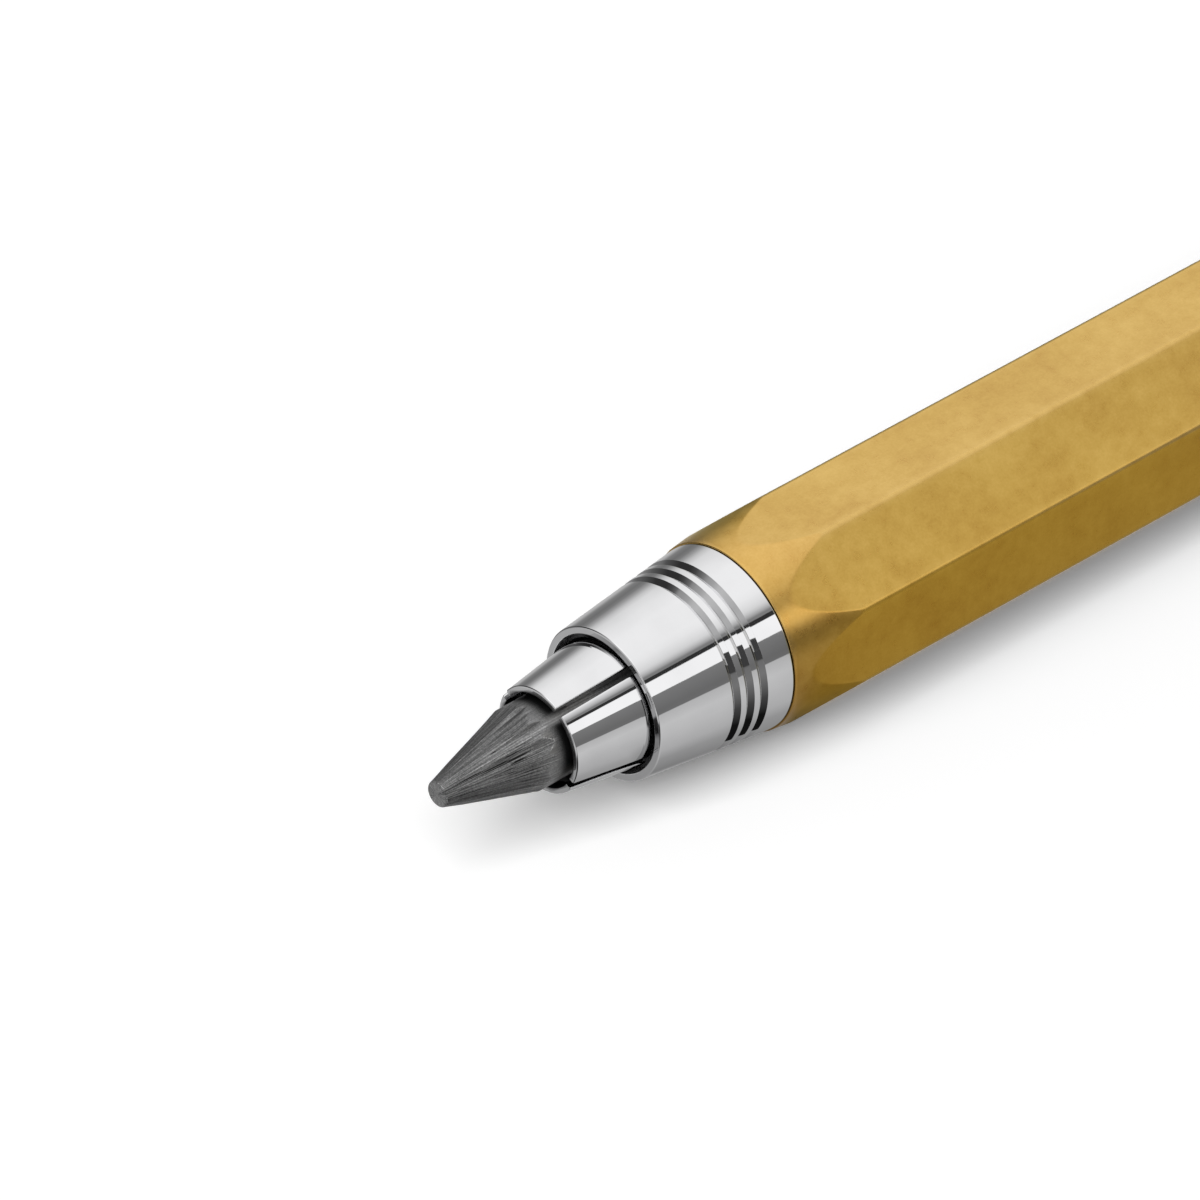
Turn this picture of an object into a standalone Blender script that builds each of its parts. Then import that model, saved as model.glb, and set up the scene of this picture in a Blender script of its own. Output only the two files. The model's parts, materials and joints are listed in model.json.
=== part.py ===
"""Clutch pencil for a thick lead: octagonal brass barrel, chromed nose cone, four-jaw collet and push button.

The pencil lies on one flat of its barrel, along X, with the lead's point towards -X.
"""

import math

import bmesh
import bpy
from mathutils import Matrix, Vector

# Driving dimensions, in metres. x runs along the pencil's axis from the lead's point to the push button.

# Lead, sharpened to a blunt point
LEAD_DIAMETER = 0.0056
LEAD_LENGTH = 0.080
LEAD_TIP_DIAMETER = 0.0017
LEAD_POINT_LENGTH = 0.0070
LEAD_OUT = 0.0083
LEAD_ROOM = 0.0101

# Collet: four jaws on a common tail
JAW_NAMES = ("jaw_top", "jaw_near", "jaw_bottom", "jaw_far")
JAW_TURN = math.radians(-13)
JAW_SLOT = 0.00058
JAW_LENGTH = 0.0177
JAW_HEAD_LENGTH = 0.0053
JAW_HEAD_TAPER = math.radians(8.27)
JAW_SHOULDER_ROUND = 0.0011
JAW_RIM_WALL = 0.00028
JAW_RIM_ROUND = 0.00008
JAW_STEM_WALL = 0.0006
JAW_MOUTH_GAP = 0.0004
JAW_MOUTH_DEPTH = 0.0010
JAW_GRIP_LENGTH = 0.0050
JAW_HINGE_GAP = 0.0001
COLLET_NECK = 0.0030
COLLET_SOCKET = 0.0065
COLLET_WALL = 0.0004

# Nose cone with its closing seat, three grooves and a shank that screws into the barrel
NOSE_LENGTH = 0.01016
NOSE_TAPER = math.radians(6.34)
NOSE_LIP_SETBACK = 0.00008
NOSE_LIP_GAP = 0.00039
NOSE_LIP_WALL = 0.00061
NOSE_LIP_ROUND = 0.0003
NOSE_BORE_ROUND = 0.0001
NOSE_SEAT_TAPER = math.radians(15)
NOSE_SEAT_LENGTH = 0.0006
NOSE_SEAT_CLEARANCE = 0.00006
NOSE_THROAT_LENGTH = 0.0015
NOSE_THROAT_ROOM = 0.0003
NOSE_BORE_ROOM = 0.0003
NOSE_SHANK_OVERRUN = 0.0014
GROOVE_COUNT = 3
GROOVE_WIDTH = 0.00052
GROOVE_PITCH = 0.00103
GROOVE_DEPTH = 0.00025
GROOVE_SETBACK = 0.0020

# Lead tube, return spring and its two seats
TUBE_WALL = 0.0004
WASHER_THICKNESS = 0.0008
SPRING_WIRE = 0.0007
SPRING_TURNS = 8
SPRING_LENGTH = 0.018
SPRING_TUBE_GAP = 0.0006
SPRING_BARREL_GAP = 0.00065
COLLAR_LENGTH = 0.0015

# Barrel, an octagonal bar turned to a cone at both ends
BARREL_SIDES = 8
BARREL_WALL = 0.00128
BARREL_CORNER_ROUND = 0.0006
BARREL_TAPER = math.radians(6.63)
BARREL_STEP = 0.00004

# Rear cone and the push button's guide bush
REAR_CONE_LENGTH = 0.0030
REAR_CONE_TAPER = math.radians(15)
REAR_CONE_ROUND = 0.0004
REAR_LIP_LENGTH = 0.0008
REAR_SHANK_LENGTH = 0.0080
BUSH_WALL = 0.0004

# Push button with its end plate and the ring that grips the lead tube
BUTTON_SKIRT = 0.0060
BUTTON_WALL = 0.0007
BUTTON_PROUD = 0.0075
BUTTON_ROUND = 0.0007
BUTTON_END_WALL = 0.0015
BUTTON_RIM = 0.0009
BUTTON_TUBE_CLEARANCE = 0.0001
DISC_THICKNESS = 0.0005
DISC_ROUND = 0.00012
GRIP_RING_WIRE = 0.00044
GRIP_RING_SETBACK = 0.0020

# Sharpener in the button: a tapered hole with a blade held by one screw
SHARPENER_GAP = 0.0003
SHARPENER_MOUTH = 0.0008
SHARPENER_TAIL = 0.0050
WINDOW_SETBACK = 0.0006
BLADE_BITE = 0.0001
BLADE_THICKNESS = 0.0003
BLADE_GRIND = 0.0004
BLADE_END_MARGIN = 0.0010
SCREW_DIAMETER = 0.0007
SCREW_LENGTH = 0.0016
SCREW_HEAD_DIAMETER = 0.0012
SCREW_HEAD_HEIGHT = 0.00035
SCREW_SLOT_WIDTH = 0.0002
SCREW_SLOT_DEPTH = 0.00018
SCREW_INSET = 0.0018

# Clearances shared by many pieces
SLIDE_CLEARANCE = 0.00015
FIT_CLEARANCE = 0.00005
FACE_GAP = 0.0001
JOINT_GAP = 0.00006

# Fineness of the meshes
SEGMENTS = 48
ARC_STEP = math.radians(24)
SPRING_POINTS_PER_TURN = 10
RING_SECTION_POINTS = 8
SMOOTH_ANGLE = math.radians(35)
WELD = 1e-7
ROUND_SHARE = 0.45

# Radii that follow, from the lead outwards
lead_r = LEAD_DIAMETER / 2
tip_r = LEAD_TIP_DIAMETER / 2
tube_bore_r = lead_r + SLIDE_CLEARANCE
tube_r = tube_bore_r + TUBE_WALL
grip_r = lead_r + FIT_CLEARANCE
jaw_mouth_r = lead_r + JAW_MOUTH_GAP
rim_r = jaw_mouth_r + JAW_RIM_WALL
shoulder_r = rim_r + JAW_HEAD_LENGTH * math.tan(JAW_HEAD_TAPER)
stem_r = tube_bore_r + JAW_STEM_WALL
hinge_r = (tube_bore_r + stem_r) / 2
collet_r = tube_r + FIT_CLEARANCE + COLLET_WALL
throat_r = stem_r + NOSE_THROAT_ROOM
nose_bore_r = collet_r + NOSE_BORE_ROOM
lip_bore_r = shoulder_r + NOSE_LIP_GAP
lip_r = lip_bore_r + NOSE_LIP_WALL
nose_r = lip_r + NOSE_LENGTH * math.tan(NOSE_TAPER)
spring_r = tube_r + SPRING_TUBE_GAP + SPRING_WIRE / 2
barrel_bore_r = spring_r + SPRING_WIRE / 2 + SPRING_BARREL_GAP
shank_r = barrel_bore_r - FIT_CLEARANCE
barrel_flat_r = barrel_bore_r + BARREL_WALL
barrel_corner_r = barrel_flat_r / math.cos(math.pi / BARREL_SIDES)
barrel_edge_r = nose_r + BARREL_STEP
button_bore_r = tube_r + BUTTON_TUBE_CLEARANCE
button_r = button_bore_r + BUTTON_WALL
bush_bore_r = button_r + FIT_CLEARANCE
bush_r = bush_bore_r + BUSH_WALL
rear_bore_r = bush_r + FIT_CLEARANCE
rear_lip_r = button_r + SLIDE_CLEARANCE
rear_end_r = nose_r - REAR_CONE_LENGTH * math.tan(REAR_CONE_TAPER)
disc_r = button_r - BUTTON_RIM
ring_r = tube_r + FIT_CLEARANCE + GRIP_RING_WIRE / 2
ring_groove_r = ring_r + GRIP_RING_WIRE / 2 + FIT_CLEARANCE
sharpener_r = button_bore_r - FIT_CLEARANCE
sharpener_mouth_r = lead_r + SLIDE_CLEARANCE
sharpener_tip_r = tip_r + SLIDE_CLEARANCE
point_angle = math.atan((lead_r - tip_r) / LEAD_POINT_LENGTH)

# Stations along the axis that follow, from the lead's point backwards
x_rim = LEAD_OUT
x_shoulder = x_rim + JAW_HEAD_LENGTH
x_stem = x_shoulder + (shoulder_r - stem_r) / math.tan(NOSE_SEAT_TAPER)
x_grip = x_rim + JAW_MOUTH_DEPTH
x_hinge = x_rim + JAW_LENGTH
x_collet = x_hinge + JAW_HINGE_GAP
x_socket = x_collet + COLLET_NECK
x_collet_end = x_socket + COLLET_SOCKET
x_lip = x_shoulder + NOSE_LIP_SETBACK
x_joint = x_lip + NOSE_LENGTH
x_shank = x_collet_end + NOSE_SHANK_OVERRUN
x_washer = x_shank + FACE_GAP
x_spring = x_washer + WASHER_THICKNESS + FACE_GAP
x_collar = x_spring + SPRING_LENGTH + FACE_GAP
x_tube_end = LEAD_LENGTH + LEAD_ROOM
x_button = x_tube_end - BUTTON_SKIRT
x_ring = x_button + GRIP_RING_SETBACK
x_mouth = x_tube_end + SHARPENER_GAP
x_point = x_mouth + SHARPENER_MOUTH
x_point_end = x_point + LEAD_POINT_LENGTH
x_sharpener_end = x_point_end + SHARPENER_TAIL
x_window = x_point + WINDOW_SETBACK
x_button_wall = x_sharpener_end + FACE_GAP
x_recess = x_button_wall + BUTTON_END_WALL
x_disc = x_recess + FACE_GAP
x_end = x_disc + DISC_THICKNESS
x_rear_end = x_end - BUTTON_PROUD
x_rear = x_rear_end - REAR_CONE_LENGTH
x_barrel = x_joint + JOINT_GAP
x_barrel_end = x_rear - JOINT_GAP

# Sharpener blade: it lies on a flat along the hole's wall and reaches out to the sharpener's round side
window_z = sharpener_mouth_r - WINDOW_SETBACK * math.tan(point_angle) - BLADE_BITE
blade_top_z = window_z + FIT_CLEARANCE + BLADE_THICKNESS
blade_width = math.sqrt((sharpener_r - FIT_CLEARANCE) ** 2 - blade_top_z**2)
blade_length = (x_sharpener_end - BLADE_END_MARGIN - x_window) / math.cos(point_angle)
screw_place = (blade_length - SCREW_INSET, blade_width / 2, FIT_CLEARANCE + BLADE_THICKNESS)


def finish(name, colour, metallic, roughness):
    material = bpy.data.materials.new(name)
    material.use_nodes = True
    shader = material.node_tree.nodes["Principled BSDF"]
    shader.inputs["Base Color"].default_value = (*colour, 1.0)
    shader.inputs["Metallic"].default_value = metallic
    shader.inputs["Roughness"].default_value = roughness
    return material


def frame(name, parent=None, location=(0, 0, 0), rotation=(0, 0, 0)):
    empty = bpy.data.objects.new(name, None)
    bpy.context.collection.objects.link(empty)
    empty.empty_display_size = LEAD_DIAMETER
    empty.parent = parent
    empty.location = location
    empty.rotation_euler = rotation
    return empty


def rounded(corners):
    """Points of an outline whose corners are (u, v) or (u, v, radius of the round on that corner)."""
    points = []
    for index, corner in enumerate(corners):
        here = Vector(corner[:2])
        if len(corner) == 2:
            points.append(here)
            continue
        before = Vector(corners[index - 1][:2]) - here
        after = Vector(corners[(index + 1) % len(corners)][:2]) - here
        half = before.angle(after) / 2
        reach = min(corner[2] / math.tan(half), ROUND_SHARE * min(before.length, after.length))
        middle = (before.normalized() + after.normalized()).normalized()
        centre = here + middle * reach / math.cos(half)
        start = here + before.normalized() * reach - centre
        end = here + after.normalized() * reach - centre
        turn = math.atan2(start.cross(end), start.dot(end))
        steps = max(1, round(abs(turn) / ARC_STEP))
        for step in range(steps + 1):
            points.append(centre + Matrix.Rotation(turn * step / steps, 2) @ start)
    return points


def turned(outline):
    """A mesh turned about X from an outline of (x, radius) corners; one that starts on the axis also ends there."""
    bm = bmesh.new()
    points = rounded(outline)
    verts = [bm.verts.new((x, 0, radius)) for x, radius in points]
    edges = [bm.edges.new(pair) for pair in zip(verts, verts[1:])]
    if outline[0][1] > 0:
        edges.append(bm.edges.new((verts[-1], verts[0])))
    bmesh.ops.spin(bm, geom=verts + edges, axis=(1, 0, 0), angle=math.tau, steps=SEGMENTS, use_merge=True)
    bmesh.ops.remove_doubles(bm, verts=bm.verts, dist=WELD)
    bmesh.ops.recalc_face_normals(bm, faces=bm.faces)
    return bm


def prism(outline, x_start, x_stop):
    """A mesh with the (y, z) outline as its section, from x_start to x_stop."""
    bm = bmesh.new()
    face = bm.faces.new([bm.verts.new((x_start, y, z)) for y, z in rounded(outline)])
    moved = bmesh.ops.extrude_face_region(bm, geom=[face])["geom"]
    shift = (x_stop - x_start, 0, 0)
    bmesh.ops.translate(bm, vec=shift, verts=[part for part in moved if isinstance(part, bmesh.types.BMVert)])
    bmesh.ops.recalc_face_normals(bm, faces=bm.faces)
    return bm


def rectangle(width, bottom, top):
    return [(-width / 2, bottom), (width / 2, bottom), (width / 2, top), (-width / 2, top)]


def piece(name, bm, material, parent, location=(0, 0, 0), rotation=(0, 0, 0)):
    mesh = bpy.data.meshes.new(name)
    bm.to_mesh(mesh)
    bm.free()
    mesh.shade_smooth()
    mesh.set_sharp_from_angle(angle=SMOOTH_ANGLE)
    mesh.materials.append(material)
    obj = bpy.data.objects.new(name, mesh)
    bpy.context.collection.objects.link(obj)
    obj.parent = parent
    obj.location = location
    obj.rotation_euler = rotation
    return obj


def cut(target, name, bm, parent, location=(0, 0, 0), rotation=(0, 0, 0), operation="DIFFERENCE"):
    cutter = piece(name, bm, target.data.materials[0], parent, location, rotation)
    cutter.hide_render = True
    cutter.display_type = "WIRE"
    modifier = target.modifiers.new(name, "BOOLEAN")
    modifier.operation = operation
    modifier.solver = "EXACT"
    modifier.object = cutter
    return cutter


def add_lead(parent, material):
    outline = [(0, 0), (0, tip_r), (LEAD_POINT_LENGTH, lead_r), (LEAD_LENGTH, lead_r), (LEAD_LENGTH, 0)]
    piece("lead", turned(outline), material, parent)


def jaw_outline():
    """Half section of the collet's jaws: tapered head, closing taper, stem, and the grip inside."""
    chamfer = jaw_mouth_r - grip_r
    relief = tube_bore_r - grip_r
    x_grip_full = x_grip + chamfer
    x_grip_end = x_grip_full + JAW_GRIP_LENGTH
    return [
        (x_rim, jaw_mouth_r),
        (x_rim, rim_r, JAW_RIM_ROUND),
        (x_shoulder, shoulder_r, JAW_SHOULDER_ROUND),
        (x_stem, stem_r),
        (x_hinge, stem_r),
        (x_hinge, tube_bore_r),
        (x_grip_end + relief, tube_bore_r),
        (x_grip_end, grip_r),
        (x_grip_full, grip_r),
        (x_grip, jaw_mouth_r),
    ]


def add_jaw(name, index, parent, material):
    """One jaw: the sector of the collet between two slots, its origin where its stem bends."""
    sector = math.tau / len(JAW_NAMES)
    bm = turned(jaw_outline())
    for side in (-1, 1):
        normal = Matrix.Rotation(side * sector / 2, 3, "X") @ Vector((0, -side, 0))
        everything = list(bm.verts) + list(bm.edges) + list(bm.faces)
        bmesh.ops.bisect_plane(
            bm, geom=everything, plane_co=-normal * JAW_SLOT / 2, plane_no=normal, clear_outer=True, dist=WELD
        )
    bmesh.ops.holes_fill(bm, edges=[edge for edge in bm.edges if edge.is_boundary])
    bmesh.ops.recalc_face_normals(bm, faces=bm.faces)
    bmesh.ops.translate(bm, vec=(-x_hinge, 0, -hinge_r), verts=bm.verts)
    around = frame(name + "_frame", parent, rotation=(JAW_TURN + index * sector, 0, 0))
    piece(name, bm, material, around, location=(x_hinge, 0, hinge_r))


def add_collet_body(parent, material):
    chamfer = collet_r - stem_r
    socket_r = tube_r + FIT_CLEARANCE
    outline = [
        (x_collet, tube_bore_r),
        (x_collet, stem_r),
        (x_collet + chamfer, collet_r),
        (x_collet_end, collet_r),
        (x_collet_end, socket_r),
        (x_socket, socket_r),
        (x_socket, tube_bore_r),
    ]
    piece("collet_body", turned(outline), material, parent)


def add_lead_tube(parent, material):
    x_start = x_socket + FACE_GAP
    outline = [(x_start, tube_bore_r), (x_start, tube_r), (x_tube_end, tube_r), (x_tube_end, tube_bore_r)]
    piece("lead_tube", turned(outline), material, parent)


def nose_outer_r(x):
    return lip_r + (x - x_lip) * math.tan(NOSE_TAPER)


def groove_outline():
    """Corners of the turned V grooves, from the front one to the rear one."""
    corners = []
    for index in reversed(range(GROOVE_COUNT)):
        x_back = x_joint - GROOVE_SETBACK - index * GROOVE_PITCH
        x_front = x_back - GROOVE_WIDTH
        x_root = (x_front + x_back) / 2
        corners += [
            (x_front, nose_outer_r(x_front)),
            (x_root, nose_outer_r(x_root) - GROOVE_DEPTH),
            (x_back, nose_outer_r(x_back)),
        ]
    return corners


def add_nose_cone(parent, material):
    """The jaws' closing taper bears on the seat; in front of it the lip stands clear of the jaws."""
    seat_gap = NOSE_SEAT_CLEARANCE / math.cos(NOSE_SEAT_TAPER)
    x_throat = x_shoulder + (shoulder_r + seat_gap - throat_r) / math.tan(NOSE_SEAT_TAPER)
    x_seat = x_throat - NOSE_SEAT_LENGTH
    seat_r = throat_r + NOSE_SEAT_LENGTH * math.tan(NOSE_SEAT_TAPER)
    x_bore = x_throat + NOSE_THROAT_LENGTH
    outline = [
        (x_lip, lip_bore_r, NOSE_BORE_ROUND),
        (x_lip, lip_r, NOSE_LIP_ROUND),
        *groove_outline(),
        (x_joint, nose_r),
        (x_joint, shank_r),
        (x_shank, shank_r),
        (x_shank, nose_bore_r),
        (x_bore, nose_bore_r),
        (x_bore, throat_r),
        (x_throat, throat_r),
        (x_seat, seat_r),
        (x_seat, lip_bore_r),
    ]
    piece("nose_cone", turned(outline), material, parent)


def add_ring(name, x_start, length, inner_r, outer_r, parent, material):
    x_stop = x_start + length
    outline = [(x_start, inner_r), (x_start, outer_r), (x_stop, outer_r), (x_stop, inner_r)]
    piece(name, turned(outline), material, parent)


def spring_points():
    """Centre line of the spring's wire: a helix between its two seats, half a wire clear of each."""
    count = SPRING_TURNS * SPRING_POINTS_PER_TURN
    run = SPRING_LENGTH - SPRING_WIRE
    points = []
    for step in range(count + 1):
        angle = math.tau * step / SPRING_POINTS_PER_TURN
        x = x_spring + SPRING_WIRE / 2 + run * step / count
        points.append(Vector((x, spring_r * math.cos(angle), spring_r * math.sin(angle))))
    return points


def least_self_gap(points):
    """Smallest clear distance between parts of the wire that are at least half a turn apart."""
    apart = SPRING_POINTS_PER_TURN // 2
    gaps = [
        (first - second).length - SPRING_WIRE
        for index, first in enumerate(points)
        for second in points[index + apart:]
    ]
    return min(gaps)


def add_return_spring(parent, material):
    points = spring_points()
    curve = bpy.data.curves.new("return_spring", "CURVE")
    curve.dimensions = "3D"
    curve.bevel_depth = SPRING_WIRE / 2
    curve.bevel_resolution = 1
    curve.use_fill_caps = True
    spline = curve.splines.new("POLY")
    spline.points.add(len(points) - 1)
    for point, place in zip(spline.points, points):
        point.co = (*place, 1)
    curve.materials.append(material)
    obj = bpy.data.objects.new("return_spring", curve)
    bpy.context.collection.objects.link(obj)
    obj.parent = parent
    print(f"return_spring: least gap to itself {least_self_gap(points) * 1000:.2f} mm")


def add_barrel(parent, material):
    """A tube turned to a cone at each end, kept inside an octagonal bar, so that the flats end in scallops."""
    blank_r = barrel_corner_r + BARREL_WALL
    rise = (blank_r - barrel_edge_r) / math.tan(BARREL_TAPER)
    outline = [
        (x_barrel, barrel_bore_r),
        (x_barrel, barrel_edge_r),
        (x_barrel + rise, blank_r),
        (x_barrel_end - rise, blank_r),
        (x_barrel_end, barrel_edge_r),
        (x_barrel_end, barrel_bore_r),
    ]
    barrel = piece("barrel", turned(outline), material, parent)
    corners = []
    for index in range(BARREL_SIDES):
        angle = (index + 0.5) * math.tau / BARREL_SIDES
        y = barrel_corner_r * math.cos(angle)
        z = barrel_corner_r * math.sin(angle)
        corners.append((y, z, BARREL_CORNER_ROUND))
    bar = prism(corners, x_barrel - BARREL_WALL, x_barrel_end + BARREL_WALL)
    cut(barrel, "octagonal_bar", bar, parent, operation="INTERSECT")


def add_rear_cone(parent, material):
    x_front = x_rear - REAR_SHANK_LENGTH
    x_lip_start = x_rear_end - REAR_LIP_LENGTH
    outline = [
        (x_front, rear_bore_r),
        (x_front, shank_r),
        (x_rear, shank_r),
        (x_rear, nose_r),
        (x_rear_end, rear_end_r, REAR_CONE_ROUND),
        (x_rear_end, rear_lip_r),
        (x_lip_start, rear_lip_r),
        (x_lip_start, rear_bore_r),
    ]
    piece("rear_cone", turned(outline), material, parent)


def add_button_bush(parent, material):
    x_front = x_rear - REAR_SHANK_LENGTH
    length = x_rear_end - REAR_LIP_LENGTH - FACE_GAP - x_front
    add_ring("button_bush", x_front, length, bush_bore_r, bush_r, parent, material)


def add_push_button(parent, material):
    """A cup open towards the lead tube, with a groove for the grip ring and a shallow recess in its end."""
    recess_r = disc_r + FIT_CLEARANCE
    half_groove = GRIP_RING_WIRE / 2 + FIT_CLEARANCE
    outline = [
        (x_button_wall, 0),
        (x_button_wall, button_bore_r),
        (x_ring + half_groove, button_bore_r),
        (x_ring + half_groove, ring_groove_r),
        (x_ring - half_groove, ring_groove_r),
        (x_ring - half_groove, button_bore_r),
        (x_button, button_bore_r),
        (x_button, button_r),
        (x_end, button_r, BUTTON_ROUND),
        (x_end, recess_r),
        (x_recess, recess_r),
        (x_recess, 0),
    ]
    piece("push_button", turned(outline), material, parent)


def add_grip_ring(parent, material):
    outline = []
    for index in range(RING_SECTION_POINTS):
        angle = math.tau * index / RING_SECTION_POINTS
        x = x_ring + GRIP_RING_WIRE / 2 * math.cos(angle)
        outline.append((x, ring_r + GRIP_RING_WIRE / 2 * math.sin(angle)))
    piece("grip_ring", turned(outline), material, parent)


def add_button_disc(parent, material):
    outline = [(x_disc, 0), (x_disc, disc_r), (x_end, disc_r, DISC_ROUND), (x_end, 0)]
    piece("button_disc", turned(outline), material, parent)


def add_sharpener(parent, seat, body_material, blade_material, screw_material):
    """A round block with a hole tapered as the lead's point, a blade on a flat along that hole, and its screw."""
    outline = [
        (x_point_end, 0),
        (x_point_end, sharpener_tip_r),
        (x_point, sharpener_mouth_r),
        (x_mouth, sharpener_mouth_r),
        (x_mouth, sharpener_r),
        (x_sharpener_end, sharpener_r),
        (x_sharpener_end, 0),
    ]
    body = piece("sharpener_body", turned(outline), body_material, parent)
    window = prism(rectangle(4 * sharpener_r, 0, 2 * sharpener_r), 0, blade_length + 2 * FACE_GAP)
    cut(body, "blade_window", window, seat)

    section = [
        (0, FIT_CLEARANCE),
        (blade_width, FIT_CLEARANCE),
        (blade_width, FIT_CLEARANCE + BLADE_THICKNESS),
        (BLADE_GRIND, FIT_CLEARANCE + BLADE_THICKNESS),
    ]
    blade = piece("sharpener_blade", prism(section, FACE_GAP, FACE_GAP + blade_length), blade_material, seat)

    inwards = (0, math.pi / 2, 0)
    hole_r = SCREW_DIAMETER / 2 + FIT_CLEARANCE
    hole_depth = SCREW_LENGTH + FACE_GAP
    hole = [(-SCREW_HEAD_HEIGHT, 0), (-SCREW_HEAD_HEIGHT, hole_r), (hole_depth, hole_r), (hole_depth, 0)]
    cut(body, "screw_hole_in_body", turned(hole), seat, screw_place, inwards)
    cut(blade, "screw_hole_in_blade", turned(hole), seat, screw_place, inwards)

    x_head = -FIT_CLEARANCE - SCREW_HEAD_HEIGHT
    outline = [
        (x_head, 0),
        (x_head, SCREW_HEAD_DIAMETER / 2),
        (-FIT_CLEARANCE, SCREW_HEAD_DIAMETER / 2),
        (-FIT_CLEARANCE, SCREW_DIAMETER / 2),
        (SCREW_LENGTH, SCREW_DIAMETER / 2),
        (SCREW_LENGTH, 0),
    ]
    screw = piece("blade_screw", turned(outline), screw_material, seat, screw_place, inwards)
    slot = rectangle(SCREW_SLOT_WIDTH, -SCREW_HEAD_DIAMETER, SCREW_HEAD_DIAMETER)
    slot_mesh = prism(slot, x_head - SCREW_SLOT_DEPTH, x_head + SCREW_SLOT_DEPTH)
    cut(screw, "screw_slot", slot_mesh, seat, screw_place, inwards)


def build():
    for obj in list(bpy.data.objects):
        bpy.data.objects.remove(obj, do_unlink=True)

    raw_brass = finish("raw_brass", (0.53, 0.33, 0.07), 1.0, 0.38)
    chrome = finish("chrome_plate", (0.78, 0.78, 0.79), 1.0, 0.06)
    graphite = finish("graphite", (0.055, 0.055, 0.058), 0.2, 0.5)
    turned_brass = finish("turned_brass", (0.60, 0.42, 0.14), 1.0, 0.25)
    spring_steel = finish("spring_steel", (0.42, 0.42, 0.43), 1.0, 0.3)
    blade_steel = finish("blade_steel", (0.55, 0.55, 0.56), 1.0, 0.22)
    acetal = finish("acetal", (0.03, 0.03, 0.03), 0.0, 0.45)
    rubber = finish("rubber", (0.02, 0.02, 0.02), 0.0, 0.8)

    pencil = frame("pencil_frame", location=(-x_end / 2, 0, barrel_flat_r))
    plunger = frame("plunger_frame", pencil)
    button = frame("button_frame", plunger)
    blade_seat = frame("blade_seat_frame", button, (x_window, 0, window_z), (0, point_angle, 0))

    add_lead(frame("lead_frame", plunger), graphite)
    for index, name in enumerate(JAW_NAMES):
        add_jaw(name, index, plunger, chrome)
    add_collet_body(plunger, turned_brass)
    add_lead_tube(plunger, turned_brass)
    add_ring("spring_collar", x_collar, COLLAR_LENGTH, tube_r + FIT_CLEARANCE, barrel_bore_r - SLIDE_CLEARANCE,
             plunger, turned_brass)

    add_nose_cone(pencil, chrome)
    add_ring("spring_washer", x_washer, WASHER_THICKNESS, tube_r + SLIDE_CLEARANCE, shank_r, pencil, spring_steel)
    add_return_spring(pencil, spring_steel)
    add_barrel(pencil, raw_brass)
    add_rear_cone(pencil, chrome)
    add_button_bush(pencil, acetal)

    add_push_button(button, chrome)
    add_grip_ring(button, rubber)
    add_button_disc(button, chrome)
    add_sharpener(button, blade_seat, turned_brass, blade_steel, spring_steel)


build()
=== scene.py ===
import json
import math

import bpy
import numpy as np
from mathutils import Matrix, Vector


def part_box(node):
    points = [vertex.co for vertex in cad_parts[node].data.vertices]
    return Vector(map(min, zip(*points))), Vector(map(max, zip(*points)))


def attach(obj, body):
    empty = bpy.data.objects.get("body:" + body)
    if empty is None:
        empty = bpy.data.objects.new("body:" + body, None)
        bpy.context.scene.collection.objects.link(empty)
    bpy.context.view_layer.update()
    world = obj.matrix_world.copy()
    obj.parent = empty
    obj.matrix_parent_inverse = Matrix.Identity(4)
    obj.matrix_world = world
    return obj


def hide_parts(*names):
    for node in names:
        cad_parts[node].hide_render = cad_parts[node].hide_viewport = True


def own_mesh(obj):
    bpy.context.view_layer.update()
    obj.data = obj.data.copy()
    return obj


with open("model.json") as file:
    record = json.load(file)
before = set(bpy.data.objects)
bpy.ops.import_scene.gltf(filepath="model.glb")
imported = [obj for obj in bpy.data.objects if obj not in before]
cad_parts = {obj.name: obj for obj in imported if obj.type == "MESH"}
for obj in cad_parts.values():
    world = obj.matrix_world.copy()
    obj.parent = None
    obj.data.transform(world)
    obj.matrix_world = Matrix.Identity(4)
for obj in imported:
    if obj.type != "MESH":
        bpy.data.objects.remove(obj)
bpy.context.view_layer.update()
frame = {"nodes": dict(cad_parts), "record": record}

mm = 0.001
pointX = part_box("lead")[0].x  # stations x are counted from the lead's point, in millimetres
axisZ = (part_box("barrel")[0].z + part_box("barrel")[1].z) / 2  # height of the pencil's axis


def onAxis(x, radius, angle):
    # millimetres and radians to metres in the row frame; angle 0 is the near side and a quarter turn the top
    x, radius, angle = np.broadcast_arrays(x, radius, angle)
    across = radius * mm
    return np.stack([pointX + x * mm, -across * np.cos(angle), axisZ + across * np.sin(angle)], axis=-1)


def between(stops, at):
    # straight lines from stop to stop, each an (at, value) pair
    return np.interp(at, *np.array(stops).T)


def gridFaces(rows, columns, wrapRows=False, wrapColumns=False):
    # the four corners of every cell in a rows x columns grid of points, which may join up with itself
    i = np.arange(rows if wrapRows else rows - 1)[:, None]
    j = np.arange(columns if wrapColumns else columns - 1)[None, :]
    nextI, nextJ = (i + 1) % rows, (j + 1) % columns
    cell = [i * columns + j, i * columns + nextJ, nextI * columns + nextJ, nextI * columns + j]
    return np.stack(np.broadcast_arrays(*cell), axis=-1).reshape(-1, 4)


def poleFaces(rows, around):
    # triangles from a pole at each end to the first and last row; the poles are two points after the grid
    j = np.arange(around)
    nextJ, lastRow = (j + 1) % around, (rows - 1) * around
    first, last = np.full(around, rows * around), np.full(around, rows * around + 1)
    return [np.stack([first, nextJ, j], -1), np.stack([last, lastRow + j, lastRow + nextJ], -1)]


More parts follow.
